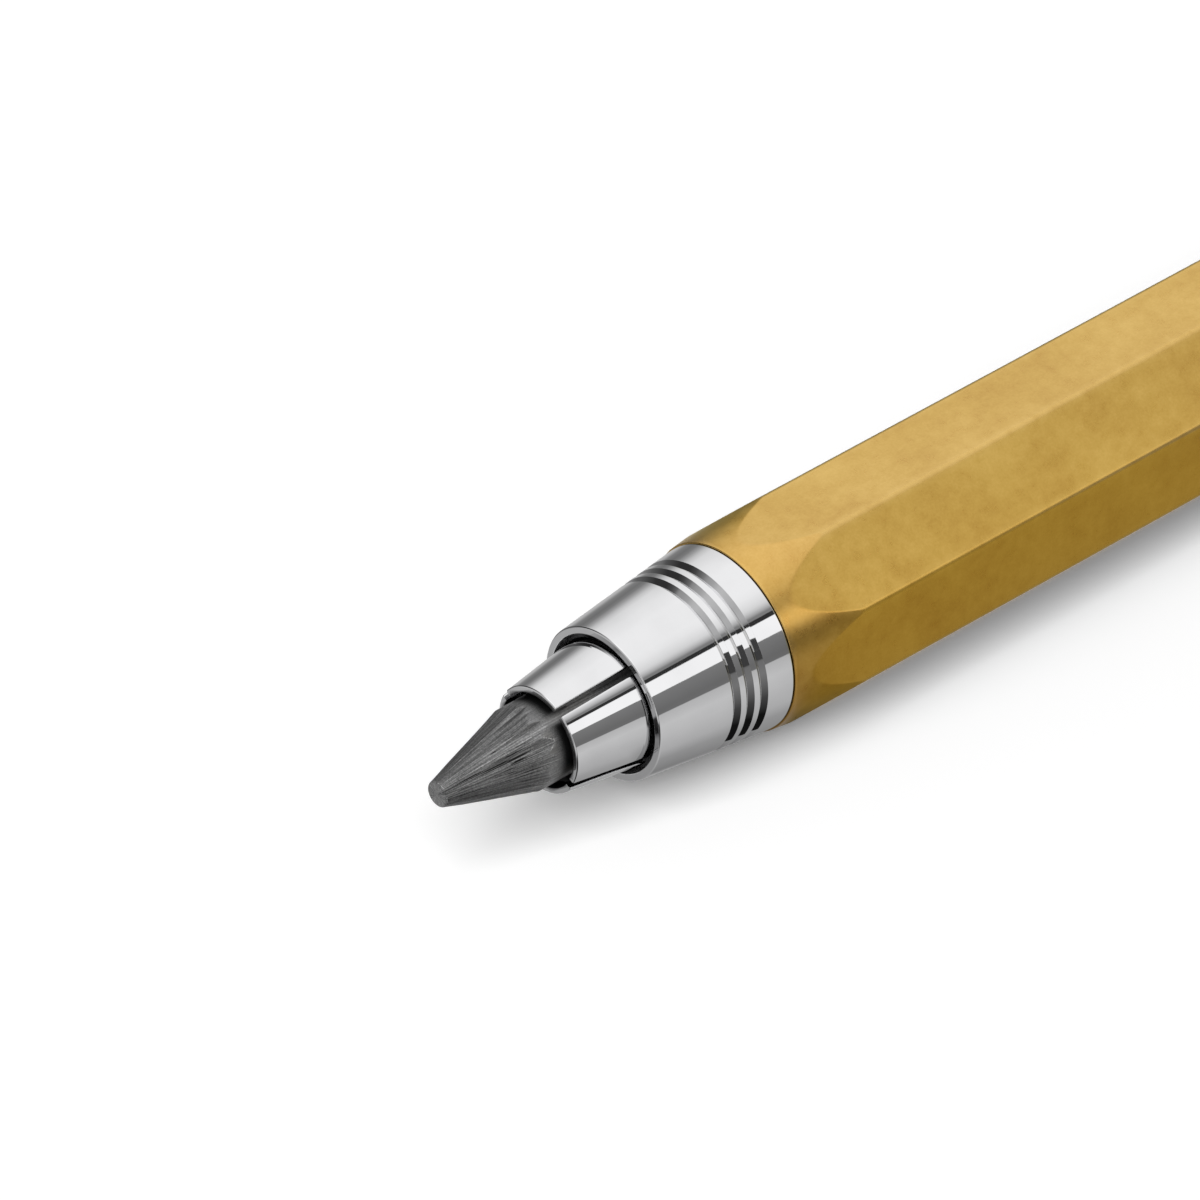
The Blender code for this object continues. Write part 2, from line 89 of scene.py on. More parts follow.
def enclosedVolume(points, corners):
    # every face is fanned from its first corner, and the tetrahedra down to the origin are added up
    fan = np.cross(points[corners[:, 1:-1]], points[corners[:, 2:]])
    return (points[corners[:, 0]][:, None] * fan).sum() / 6


def putMesh(name, points, faces, material, sharp=35, values=None):
    # faces is a list of index arrays, one row per face; the sign of the volume turns them all outwards
    points = points.reshape(-1, 3)
    if sum(enclosedVolume(points, corners) for corners in faces) < 0:
        faces = [corners[:, ::-1] for corners in faces]
    loops = np.concatenate([corners.ravel() for corners in faces])
    sizes = np.concatenate([np.full(len(corners), corners.shape[1]) for corners in faces])
    starts = np.concatenate([[0], np.cumsum(sizes)[:-1]])
    mesh = bpy.data.meshes.new(name)
    mesh.vertices.add(len(points))
    mesh.vertices.foreach_set("co", points.astype(np.float32).ravel())
    mesh.loops.add(len(loops))
    mesh.loops.foreach_set("vertex_index", loops.astype(np.int32))
    mesh.polygons.add(len(sizes))
    mesh.polygons.foreach_set("loop_start", starts.astype(np.int32))
    mesh.update(calc_edges=True)
    mesh.validate()
    mesh.shade_smooth()
    mesh.set_sharp_from_angle(angle=math.radians(sharp))
    for key, value in (values or {}).items():
        spread = value.size == 3 * len(points)
        layer = mesh.attributes.new(key, "FLOAT_VECTOR" if spread else "FLOAT", "POINT")
        layer.data.foreach_set("vector" if spread else "value", value.astype(np.float32).ravel())
    mesh.materials.append(material)
    piece = bpy.data.objects.new(name, mesh)
    bpy.context.scene.collection.objects.link(piece)
    return piece


def standFor(piece, node, body):
    # the piece takes the CAD node's place on its body
    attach(piece, body)
    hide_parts(node)
    print(f"{piece.name}: {len(piece.data.polygons)} faces for {node}")


def roundedOutline(corners, arcSteps=8, hold=0.3, most=0.45):
    # a corner (u, v, round) becomes an arc that touches both its sides, within a share of the shorter one;
    # a point just past each end of the arc keeps the flats flat
    spots = np.array([corner[:2] for corner in corners], float)
    outline = []
    for spot, before, after, corner in zip(spots, np.roll(spots, 1, 0), np.roll(spots, -1, 0), corners):
        if len(corner) == 2:
            outline.append(spot[None])
            continue
        inward, outward = before - spot, after - spot
        shorter = min(np.linalg.norm(inward), np.linalg.norm(outward))
        inward, outward = inward / np.linalg.norm(inward), outward / np.linalg.norm(outward)
        half = math.acos(np.clip(inward @ outward, -1, 1)) / 2
        reach = min(corner[2] / math.tan(half), most * shorter / (1 + hold))
        middle = inward + outward
        centre = spot + middle / np.linalg.norm(middle) * reach / math.cos(half)
        sweep = math.pi - 2 * half
        t = np.linspace(0, 1, arcSteps)[:, None]
        start, end = spot + inward * reach - centre, spot + outward * reach - centre
        arc = centre + (np.sin((1 - t) * sweep) * start + np.sin(t * sweep) * end) / math.sin(sweep)
        past = reach * (1 + hold)
        outline += [(spot + inward * past)[None], arc, (spot + outward * past)[None]]
    return np.concatenate(outline)


boreShade = dict(margin=0.03, blend=0.02, clear=0.2, fade=0.8)  # where a bore counts as inside and gets painted shade, in mm


def turnedPiece(name, corners, material, around=192, innerRadius=0.0):
    # a profile of (x, radius) carried round the axis; one that starts on it also ends there, in two poles
    profile = roundedOutline(corners)
    poles = profile[0, 1] == 0
    x, radius = (profile[1:-1] if poles else profile).T
    angle = np.arange(around) * math.tau / around
    points = onAxis(x[:, None], radius[:, None], angle).reshape(-1, 3)
    depth = np.minimum(x - x.min(), x.max() - x)
    within = np.clip((innerRadius + boreShade["margin"] - radius) / boreShade["blend"], 0, 1)
    deep = np.clip((depth - boreShade["clear"]) / boreShade["fade"], 0, 1)
    inside = np.repeat(within * deep, around)
    faces = [gridFaces(len(x), around, wrapRows=not poles, wrapColumns=True)]
    if poles:
        faces += poleFaces(len(x), around)
        points = np.concatenate([points, onAxis(profile[[0, -1], 0], 0, 0)])
        inside = np.concatenate([inside, [1, 0]])
    return putMesh(name, points, faces, material, values={"inside": inside})


def linear(text):
    # sRGB hex to the linear values that the shaders read
    value = np.array([int(text[k:k + 2], 16) for k in (1, 3, 5)]) / 255
    value = np.where(value <= 0.04045, value / 12.92, ((value + 0.055) / 1.055) ** 2.4)
    return (*value, 1.0)


def addNode(tree, kind, inputs=None, out=0, stops=None, **settings):
    # one node: its settings, its inputs as plain values or links, and a ramp's stops; gives one output
    node = tree.nodes.new("ShaderNode" + kind)
    for key, value in settings.items():
        setattr(node, key, value)
    for key, value in (inputs or {}).items():
        if isinstance(value, bpy.types.NodeSocket):
            tree.links.new(value, node.inputs[key])
        else:
            node.inputs[key].default_value = value
    for index, (position, colour) in enumerate(stops or []):
        ramp = node.color_ramp.elements
        element = ramp[index] if index < 2 else ramp.new(position)
        element.position, element.color = position, linear(colour)
    return node.outputs[out] if node.outputs else None


def startMaterial(name):
    # an empty material, its node tree, and the place on the piece that patterns are laid out by
    material = bpy.data.materials.new(name)
    material.use_nodes = True
    material.node_tree.nodes.clear()
    return material, material.node_tree, addNode(material.node_tree, "TexCoord", out="Object")


def seenDirectly(tree):
    # the largest of three flags: 1 on camera, mirror and transmission rays, 0 on those to matt surfaces
    rays = [addNode(tree, "LightPath", out=f"Is {ray} Ray") for ray in ("Camera", "Glossy", "Transmission")]
    either = addNode(tree, "Math", {0: rays[0], 1: rays[1]}, operation="MAXIMUM")
    return addNode(tree, "Math", {0: either, 1: rays[2]}, operation="MAXIMUM")


perMetre = 1 / mm  # a noise of scale perMetre / size has features about that many millimetres wide

# raw brass, turned and tumbled to a satin skin: mottled gold, brighter where hands have rubbed the corners,
# partly real wear and partly a painted highlight
brassLook = dict(deep="#B18B48", middle="#BE9A54", pale="#C9A660", rubbedHighlight="#CDAB68", seam="#8A6420",
                 blotch=5.0, cloud=1.1, grain=0.15, grainShare=0.5, mottleLow=0.87, mottleHigh=1.63,
                 satinLow=0.3, satinHigh=0.7, smooth=0.26, dull=0.34, wornHighlight=0.22, grainDepth=0.0008)
look = brassLook
tumbledBrass, tree, place = startMaterial("tumbledBrass")
blotch = addNode(tree, "TexNoise", {"Vector": place, "Scale": perMetre / look["blotch"], "Detail": 3.0})
cloud = addNode(tree, "TexNoise", {"Vector": place, "Scale": perMetre / look["cloud"], "Detail": 5.0,
                                   "Roughness": 0.65})
grain = addNode(tree, "TexNoise", {"Vector": place, "Scale": perMetre / look["grain"], "Detail": 3.0})
mottle = addNode(tree, "Math", {0: blotch, 1: cloud}, operation="ADD")
mottle = addNode(tree, "Math", {0: grain, 1: look["grainShare"], 2: mottle}, operation="MULTIPLY_ADD")
share = addNode(tree, "MapRange", {"Value": mottle, "From Min": look["mottleLow"],
                                   "From Max": look["mottleHigh"]})
tarnish = addNode(tree, "ValToRGB", {"Fac": share},
                  stops=[(0.0, look["deep"]), (1.0, look["pale"]), (0.5, look["middle"])])
# real wear and a painted highlight: the rubbed corners and ends are mixed towards a lighter colour
rubAndHighlight = addNode(tree, "Attribute", out="Fac", attribute_name="rubAndHighlight")
wornHighlight = addNode(tree, "Math", {0: rubAndHighlight, 1: cloud}, operation="MULTIPLY")
colour = addNode(tree, "Mix", {0: wornHighlight, 6: tarnish, 7: linear(look["rubbedHighlight"])}, out=2, data_type="RGBA")
seam = addNode(tree, "Attribute", out="Fac", attribute_name="seam")  # darker at the joints
colour = addNode(tree, "Mix", {0: seam, 6: colour, 7: linear(look["seam"])}, out=2, data_type="RGBA")
satin = addNode(tree, "MapRange", {"Value": cloud, "From Min": look["satinLow"],
                                   "From Max": look["satinHigh"], "To Min": look["smooth"],
                                   "To Max": look["dull"]})
satin = addNode(tree, "MapRange", {"Value": wornHighlight, "To Min": satin, "To Max": look["wornHighlight"]})
skin = addNode(tree, "Bump", {"Height": grain, "Distance": look["grainDepth"] * mm})
shader = addNode(tree, "BsdfPrincipled", {"Base Color": colour, "Metallic": 1.0, "Roughness": satin,
                                          "Normal": skin})
addNode(tree, "OutputMaterial", {"Surface": shader})

# bright chrome plate over a polished turning: mirror grey with a faint haze of handling, dark in the bores,
# which is painted shade and partly duller, thinner plate
chromeLook = dict(clear="#C5C5C6", hazy="#C0C0C1", bareShaded="#4A4A4B", haze=3.5, hazeLow=0.35, hazeHigh=0.65,
                  wipe=0.35, smooth=0.025, dull=0.05, bareDull=0.4, ripple=0.0003)
look = chromeLook
polishedChrome, tree, place = startMaterial("polishedChrome")
haze = addNode(tree, "TexNoise", {"Vector": place, "Scale": perMetre / look["haze"], "Detail": 4.0})
wipe = addNode(tree, "TexNoise", {"Vector": place, "Scale": perMetre / look["wipe"], "Detail": 2.0})
plate = addNode(tree, "ValToRGB", {"Fac": haze},
                stops=[(look["hazeLow"], look["hazy"]), (look["hazeHigh"], look["clear"])])
# painted shade, partly thin plate: inside bores and slots the chrome turns to a dark, dull grey
inside = addNode(tree, "Attribute", out="Fac", attribute_name="inside")
plate = addNode(tree, "Mix", {0: inside, 6: plate, 7: linear(look["bareShaded"])}, out=2, data_type="RGBA")
gloss = addNode(tree, "MapRange", {"Value": haze, "From Min": look["hazeLow"], "From Max": look["hazeHigh"],
                                   "To Min": look["dull"], "To Max": look["smooth"]})
gloss = addNode(tree, "MapRange", {"Value": inside, "To Min": gloss, "To Max": look["bareDull"]})
ripple = addNode(tree, "Bump", {"Height": wipe, "Distance": look["ripple"] * mm})
shader = addNode(tree, "BsdfPrincipled", {"Base Color": plate, "Metallic": 1.0, "Roughness": gloss,
                                          "Normal": ripple})
addNode(tree, "OutputMaterial", {"Surface": shader})

# pressed graphite and clay, shaved by a blade: soft grey sheen, fine streaks along the point,
# and pale crumbs where the strokes break out, and round the tip's rim crumbs with a painted highlight
graphiteLook = dict(furrow="#161616", face="#6C6C6C", ridge="#B4B4B4", crumbAndRimLight="#CACACA", smear="#828282",
                    speck=0.12, speckShare=0.6, streak=0.12, line=0.2, lineWidth=0.045, toneLow=0.42,
                    toneHigh=1.18, crumbLow=0.42, crumbHigh=0.6, occlusionShade=1.6, occlusionShadeLow=0.68,
                    occlusionShadeHigh=0.98, sheen=0.7, smooth=0.34, dull=0.58, depth=0.012)
look = graphiteLook
shavedGraphite, tree, place = startMaterial("shavedGraphite")
run = addNode(tree, "Attribute", out="Vector", attribute_name="grainPlace")  # drawn out along the lead
streak = addNode(tree, "TexNoise", {"Vector": run, "Scale": 1 / look["streak"], "Detail": 4.0,
                                    "Roughness": 0.65})
speck = addNode(tree, "TexNoise", {"Vector": place, "Scale": perMetre / look["speck"], "Detail": 4.0,
                                   "Roughness": 0.7})
score = addNode(tree, "TexNoise", {"Vector": run, "Scale": 1 / look["line"], "Detail": 1.0})
score = addNode(tree, "Math", {0: score, 1: 0.5}, operation="SUBTRACT")
score = addNode(tree, "Math", {0: score}, operation="ABSOLUTE")  # lines where the noise crosses its middle
score = addNode(tree, "MapRange", {"Value": score, "From Max": look["lineWidth"], "To Min": 1.0,
                                   "To Max": 0.0})
cut = addNode(tree, "Attribute", out="Fac", attribute_name="cutMark")  # how deep the blade scored each side
score = addNode(tree, "Math", {0: score, 1: cut}, operation="MULTIPLY")
tone = addNode(tree, "Math", {0: speck, 1: look["speckShare"], 2: streak}, operation="MULTIPLY_ADD")
tone = addNode(tree, "Math", {0: tone, 1: score}, operation="SUBTRACT")
share = addNode(tree, "MapRange", {"Value": tone, "From Min": look["toneLow"], "From Max": look["toneHigh"]})
shade = addNode(tree, "ValToRGB", {"Fac": share},
                stops=[(0.0, look["furrow"]), (1.0, look["ridge"]), (0.5, look["face"])])
uncut = addNode(tree, "Attribute", out="Fac", attribute_name="roundSide")  # 1 where the blade has not been
smear = addNode(tree, "Math", {0: uncut, 1: speck}, operation="MULTIPLY")
shade = addNode(tree, "Mix", {0: smear, 6: shade, 7: linear(look["smear"])}, out=2, data_type="RGBA")
edge = addNode(tree, "Attribute", out="Fac", attribute_name="crumbAndRimLightMask")  # 1 along the border of the cut, and round the tip's rim, where it also paints a highlight
crumbAndRimLight = addNode(tree, "Math", {0: speck, 1: edge}, operation="MULTIPLY")
crumbAndRimLight = addNode(tree, "MapRange", {"Value": crumbAndRimLight, "From Min": look["crumbLow"],
                                   "From Max": look["crumbHigh"]})
shade = addNode(tree, "Mix", {0: crumbAndRimLight, 6: shade, 7: linear(look["crumbAndRimLight"])}, out=2, data_type="RGBA")
# painted shade: an ambient-occlusion mask darkens the lead where the jaws cover it, but not along the slots
# between them
occlusionShade = addNode(tree, "AmbientOcclusion", {"Color": shade, "Distance": look["occlusionShade"] * mm}, out="AO",
                  samples=8)
occlusionShade = addNode(tree, "MapRange", {"Value": occlusionShade, "From Min": look["occlusionShadeLow"],
                                     "From Max": look["occlusionShadeHigh"]})
unshadedTrack = addNode(tree, "Attribute", out="Fac", attribute_name="slotUnshaded")
occlusionShade = addNode(tree, "Math", {0: occlusionShade, 1: unshadedTrack}, operation="MAXIMUM")
shade = addNode(tree, "Mix", {0: occlusionShade, 6: linear(look["furrow"]), 7: shade}, out=2, data_type="RGBA")
rough = addNode(tree, "MapRange", {"Value": share, "To Min": look["dull"], "To Max": look["smooth"]})
torn = addNode(tree, "Bump", {"Height": tone, "Distance": look["depth"] * mm})
shader = addNode(tree, "BsdfPrincipled", {"Base Color": shade, "Metallic": look["sheen"], "Roughness": rough,
                                          "Normal": torn})
addNode(tree, "OutputMaterial", {"Surface": shader})

# the hidden works: one recipe for turned brass, drawn steel, ground steel, moulded plastic and rubber
# each has a clean and a handled colour in patches, and fine tool marks, sized in mm along each axis
worksLooks = {
    "turned_brass": dict(name="turnedBrass", clean="#D0AE63", handled="#A98443", patch=2.5, depth=0.004,
                         marks=(0.12, 4.0, 4.0), metallic=1.0, smooth=0.22, dull=0.38),
    "spring_steel": dict(name="drawnSpringSteel", clean="#B4B4B6", handled="#8A8A8C", patch=1.5, depth=0.003,
                         marks=(0.5, 0.1, 0.1), metallic=1.0, smooth=0.25, dull=0.42),
    "blade_steel": dict(name="groundBladeSteel", clean="#C6C6C8", handled="#A0A0A3", patch=2.0, depth=0.003,
                        marks=(3.0, 0.1, 0.1), metallic=1.0, smooth=0.18, dull=0.32),
    "acetal": dict(name="mouldedAcetal", clean="#2B2B2C", handled="#343435", patch=1.5, depth=0.004,
                   marks=(0.2, 0.2, 0.2), metallic=0.0, smooth=0.35, dull=0.5),
    "rubber": dict(name="mouldedRubber", clean="#232323", handled="#2F2F2E", patch=0.8, depth=0.006,
                   marks=(0.15, 0.15, 0.15), metallic=0.0, smooth=0.6, dull=0.8),
}
patternLow, patternHigh = 0.3, 0.7  # noise values between which a pattern runs from one look to the other
worksMaterials = {}
for slotName, look in worksLooks.items():
    material, tree, place = startMaterial(look["name"])
    patch = addNode(tree, "TexNoise", {"Vector": place, "Scale": perMetre / look["patch"], "Detail": 4.0})
    scale = [perMetre / size for size in look["marks"]]
    stretch = addNode(tree, "Mapping", {"Vector": place, "Scale": scale})
    marks = addNode(tree, "TexNoise", {"Vector": stretch, "Scale": 1.0, "Detail": 2.0})
    colour = addNode(tree, "ValToRGB", {"Fac": patch},
                     stops=[(patternLow, look["handled"]), (patternHigh, look["clean"])])
    rough = addNode(tree, "MapRange", {"Value": marks, "From Min": patternLow, "From Max": patternHigh,
                                       "To Min": look["smooth"], "To Max": look["dull"]})
    bump = addNode(tree, "Bump", {"Height": marks, "Distance": look["depth"] * mm})
    shader = addNode(tree, "BsdfPrincipled", {"Base Color": colour, "Metallic": look["metallic"],
                                              "Roughness": rough, "Normal": bump})
    addNode(tree, "OutputMaterial", {"Surface": shader})
    worksMaterials[slotName] = material
for part in frame["record"]["subparts"]:
    if part["material_slot"] in worksMaterials:
        mesh = frame["nodes"][part["node"]].data
        mesh.materials.clear()
        mesh.materials.append(worksMaterials[part["material_slot"]])
print("materials: brass, chrome, graphite and the works")

# barrel: an octagonal bar turned to a cone at both ends, so each flat ends in a scallop
# the skin is rubbed along the corners and ends, lighter there as wear and as a painted highlight, and darker
# at the joints, most of all on the underside
barrelShape = dict(front=23.90, back=94.84, sides=8, flat=6.58, cornerRound=0.6, edge=6.419, taper=6.63,
                   bore=5.3, edgeRound=0.07, creaseRound=0.22, cornerSteps=14, flatSteps=14, edgeSteps=5,
                   coneSteps=12, creaseSteps=9, middleSteps=12, boreSteps=3, rubHighlightWidth=0.25, endRubHighlight=0.12,
                   seamWidth=0.8, seamMost=0.75, seamMean=1.1, seamSwing=1.6, seamLeast=0.15)


def barrelGrid(b):
    # outline: corner arcs joined by flats; each point runs up the cone, over a crease and along its flat
    half = math.pi / b["sides"]
    arc = np.linspace(-half, half, b["cornerSteps"])
    reach = (b["flat"] - b["cornerRound"]) / math.cos(half)
    corner = np.stack([reach + b["cornerRound"] * np.cos(arc), b["cornerRound"] * np.sin(arc)], -1)
    cosTurn, sinTurn = math.cos(2 * half), math.sin(2 * half)
    turnBack = np.array([[cosTurn, sinTurn], [-sinTurn, cosTurn]])
    t = np.linspace(0, 1, b["flatSteps"] + 1)[1:-1, None]
    flat = corner[-1] * (1 - t) + (corner[0] @ turnBack) * t
    one = np.concatenate([corner, flat])
    bearing = np.arctan2(one[:, 1], one[:, 0])
    fromCorner = np.tile(np.minimum(abs(bearing), abs(bearing - 2 * half)), b["sides"])
    angle = (np.arange(b["sides"])[:, None] * 2 * half + bearing + half).ravel()
    outer = np.tile(np.hypot(one[:, 0], one[:, 1]), b["sides"])
    slope, bend = math.tan(math.radians(b["taper"])), b["creaseRound"]
    run = (outer - b["edge"]) / slope  # how far from the end each point's scallop edge lies
    lip = b["edgeRound"] * (1 - np.cos(np.linspace(0, math.pi / 2, b["edgeSteps"])))[:, None]
    up = np.linspace(0, 1, b["coneSteps"])[1:, None]
    over = np.linspace(-1, 1, b["creaseSteps"])[1:, None]
    lipX = np.broadcast_to(lip, (len(lip), len(run)))
    coneX = b["edgeRound"] + (run - bend - b["edgeRound"]) * up
    creaseX = run + bend * over
    lipR = b["edge"] - b["edgeRound"] * (1 - np.sqrt(1 - (1 - lipX / b["edgeRound"]) ** 2)) + lipX * slope
    coneR = b["edge"] + coneX * slope
    creaseR = outer - slope / (4 * bend) * (bend * (1 - over)) ** 2
    endX, endR = np.concatenate([lipX, coneX, creaseX]), np.concatenate([lipR, coneR, creaseR])
    length = b["back"] - b["front"]
    along = np.linspace(0, 1, b["middleSteps"])[1:-1, None]
    middleX = endX[-1] + (length - 2 * endX[-1]) * along
    boreX = np.linspace(length, 0, b["boreSteps"])[:, None] + 0 * run
    x = np.concatenate([endX, middleX, length - endX[::-1], boreX])
    radius = np.concatenate([endR, outer + 0 * middleX, endR[::-1], b["bore"] + 0 * boreX])
    fromEnd = np.minimum(x, length - x)
    # rubbed corners and ends: real wear, and a painted highlight in their lighter colour
    corners = np.exp(-(fromCorner * b["flat"] / b["rubHighlightWidth"]) ** 2)
    onFlat = np.clip((fromEnd - run) / b["creaseRound"] + 0.5, 0, 1)
    rubAndHighlight = np.clip(corners * onFlat + np.exp(-(fromEnd / b["endRubHighlight"]) ** 2), 0, 1)
    # darker towards the ends, and less so on the top
    below = np.clip(b["seamMean"] - b["seamSwing"] * np.sin(angle), b["seamLeast"], 1)
    seam = b["seamMost"] * np.exp(-fromEnd / b["seamWidth"]) * below
    return b["front"] + x, radius, angle, rubAndHighlight, seam


x, radius, angle, rubAndHighlight, seam = barrelGrid(barrelShape)
faces = [gridFaces(*x.shape, wrapRows=True, wrapColumns=True)]
points = onAxis(x, radius, angle)
piece = putMesh("barrelShell", points, faces, tumbledBrass, values={"rubAndHighlight": rubAndHighlight, "seam": seam})
standFor(piece, "barrel", "barrel")

# nose cone: thin rounded lip, straight taper, three V grooves, then the shank inside the barrel
noseShape = dict(lip=13.68, joint=23.84, lipBore=4.7, lipOuter=5.2, taper=6.34, lipRound=0.12,
                 boreRound=0.06, endRound=0.04, grooves=3, grooveWidth=0.62, groovePitch=1.03,
                 grooveDepth=0.3, grooveBack=1.95, grooveEdge=0.02, grooveRoot=0.02, seat=14.7,
                 seatRadius=4.01, throat=15.316, throatRadius=3.85, throatEnd=16.816, inner=4.1, shank=37.0,
                 shankRadius=5.25)


def noseRadius(n, x):
    # the cone: the lip's radius + distance from the lip x slope
    return n["lipOuter"] + (x - n["lip"]) * math.tan(math.radians(n["taper"]))


def noseCorners(n):
    # along the cone with three corners for each V, round the shank's end, back through bore, throat and seat
    back = n["joint"] - n["grooveBack"] - n["groovePitch"] * np.arange(n["grooves"])[::-1]
    grooves = []
    for groove in back:
        front, middle = groove - n["grooveWidth"], groove - n["grooveWidth"] / 2
        grooves += [(front, noseRadius(n, front), n["grooveEdge"]),
                    (middle, noseRadius(n, middle) - n["grooveDepth"], n["grooveRoot"]),
                    (groove, noseRadius(n, groove), n["grooveEdge"])]
    return [(n["lip"], n["lipBore"], n["boreRound"]), (n["lip"], n["lipOuter"], n["lipRound"]), *grooves,
            (n["joint"], noseRadius(n, n["joint"]), n["endRound"]), (n["joint"], n["shankRadius"]),
            (n["shank"], n["shankRadius"]), (n["shank"], n["inner"]), (n["throatEnd"], n["inner"]),
            (n["throatEnd"], n["throatRadius"]), (n["throat"], n["throatRadius"]),
            (n["seat"], n["seatRadius"]), (n["seat"], n["lipBore"])]


corners = noseCorners(noseShape)
piece = turnedPiece("noseCone", corners, polishedChrome, around=256, innerRadius=noseShape["lipBore"])
standFor(piece, "nose_cone", "barrel")

# four jaws: each is the sector of the collet between two slots
jawShape = dict(rim=8.3, mouth=3.2, rimOuter=3.58, rimRound=0.11, shoulder=13.25, shoulderOuter=4.27,
                shoulderRound=1.2, land=13.95, landOuter=4.4, landRound=0.15, back=14.62, backOuter=3.97,
                stem=16.214, stemOuter=3.55, hinge=26.0, boreInner=2.95, grip=9.3, gripInner=2.85,
                gripLength=5.0, slot=0.58, slotRound=0.08, slotShade=0.15, coneFrom=8.6, coneTo=12.25,
                coneSteps=24, roundSteps=12, arcSteps=72, innerSteps=36, cornerSteps=6, faceSteps=5)
# each jaw's node, the turn of its middle in degrees, and how far its rim springs out
jawTurns = dict(jawTop=("jaw_top", 103, 0.0), jawNear=("jaw_near", 13, 0.0),
                jawBottom=("jaw_bottom", -77, 0.07), jawFar=("jaw_far", 193, 0.0))


def jawLoft(j):
    # the section is a ring sector with parallel slot faces and rounded edges, carried from rim to hinge
    # the outline's first corner lies below the mouth, only to lead into the rim's arc
    front = [(j["rim"], j["mouth"] - 1), (j["rim"], j["rimOuter"], j["rimRound"]),
             (j["shoulder"], j["shoulderOuter"], j["shoulderRound"]),
             (j["land"], j["landOuter"], j["landRound"]), (j["back"], j["backOuter"]),
             (j["stem"], j["stemOuter"]), (j["hinge"], j["stemOuter"])]
    outer = roundedOutline(front, arcSteps=j["roundSteps"])[2:]  # from where the rim's arc begins
    full = j["grip"] + j["mouth"] - j["gripInner"]
    gripEnd = full + j["gripLength"]
    inner = np.array([(j["rim"], j["mouth"]), (j["grip"], j["mouth"]), (full, j["gripInner"]),
                      (gripEnd, j["gripInner"]),
                      (gripEnd + (j["boreInner"] - j["gripInner"]), j["boreInner"]),
                      (j["hinge"], j["boreInner"])])
    cone = np.linspace(j["coneFrom"], j["coneTo"], j["coneSteps"])
    x = np.unique(np.concatenate([outer[:, 0], inner[:, 0], cone]))[:, None]
    rOut, rIn = np.interp(x, *outer.T), np.interp(x, *inner.T)
    edge, gap = j["slotRound"], j["slot"] / 2
    sector = math.tau / len(jawTurns) / 2
    bend = np.linspace(0, math.pi / 2, j["cornerSteps"])
    cornerR = rOut - edge * (1 - np.cos(bend))
    cornerA = sector - np.arcsin(gap / rOut) - edge * (1 - np.sin(bend)) / rOut
    faceR = (rOut - edge) + (rIn - rOut + edge) * np.linspace(0, 1, j["faceSteps"])[1:]
    faceA = sector - np.arcsin(gap / faceR)
    sweepOut = np.linspace(-1, 1, j["arcSteps"])[1:-1]
    sweepIn = np.linspace(1, -1, j["innerSteps"])[1:-1]
    loopR = [rOut + 0 * sweepOut, cornerR, faceR, rIn + 0 * sweepIn, faceR[:, ::-1], cornerR[:, ::-1]]
    loopA = [cornerA[:, :1] * sweepOut, cornerA, faceA, faceA[:, -1:] * sweepIn, -faceA[:, ::-1],
             -cornerA[:, ::-1]]
    bareShaded = [0.0, 0.0, j["slotShade"], 1.0, j["slotShade"], 0.0]  # how unplated and how deep in painted shade each stretch is
    inside = np.concatenate([share + 0 * part for share, part in zip(bareShaded, loopR)], 1)
    return x, np.concatenate(loopR, 1), np.concatenate(loopA, 1), inside


x, radius, angle, inside = jawLoft(jawShape)
rows, columns = radius.shape
ends = [np.arange(columns)[None, ::-1], (rows - 1) * columns + np.arange(columns)[None]]
for name, (node, degrees, spring) in jawTurns.items():
    faces = [gridFaces(rows, columns, wrapColumns=True), *ends]
    middle = math.radians(degrees)
    lifted = spring * (jawShape["hinge"] - x) / (jawShape["hinge"] - jawShape["rim"])
    points = onAxis(x, radius, angle + middle) + onAxis(x, lifted, middle) - onAxis(x, 0, middle)
    piece = putMesh(name, points, faces, polishedChrome, values={"inside": inside})
    standFor(piece, node, node)

# lead: a blade has shaved the point in long flat strokes that break out where the round side begins
# strokes are the middle of each flat in degrees and how deeply it is scored; they lean a little off the axis
# ripple is the height of the fine furrows, wander how far the border of the cut strays, both in millimetres
leadShape = dict(length=80.0, radius=2.8, tip=0.85, tipRound=0.14, point=7.0, cutEnd=8.5, soft=0.012,
                 around=600, pointSteps=118, faceInner=0.12, faceSteps=6, stem=(9.2, 14.0, 30.0, 55.0),
                 drawnOut=0.03, seed=11,
                 strokes=[(-80, 0.2), (-45, 0.25), (-12, 0.2), (14, 0.5), (34, 0.9), (54, 0.3), (84, 0.15),
                          (116, 0.3), (150, 0.4), (185, 0.3), (218, 0.4), (248, 0.3)],
                 lean=1.2, leanFrom=4, flatWidest=60, flatMean=1.012, flatGrow=1.5,
                 fineWaves=(40, 140), fineTwist=0.2, ripple=0.008, rippleLeast=0.3,
                 looseWaves=(2, 40), wander=0.054, wanderFrom=4.0, wanderOver=3.0,
                 scoreFade=1.5, crumbGain=1.4, tipCrumbAndHighlight=0.9, tipRimAt=0.08, tipRimWidth=0.07,
                 tipRimFrom=0.8, unshadedTrack=0.4)


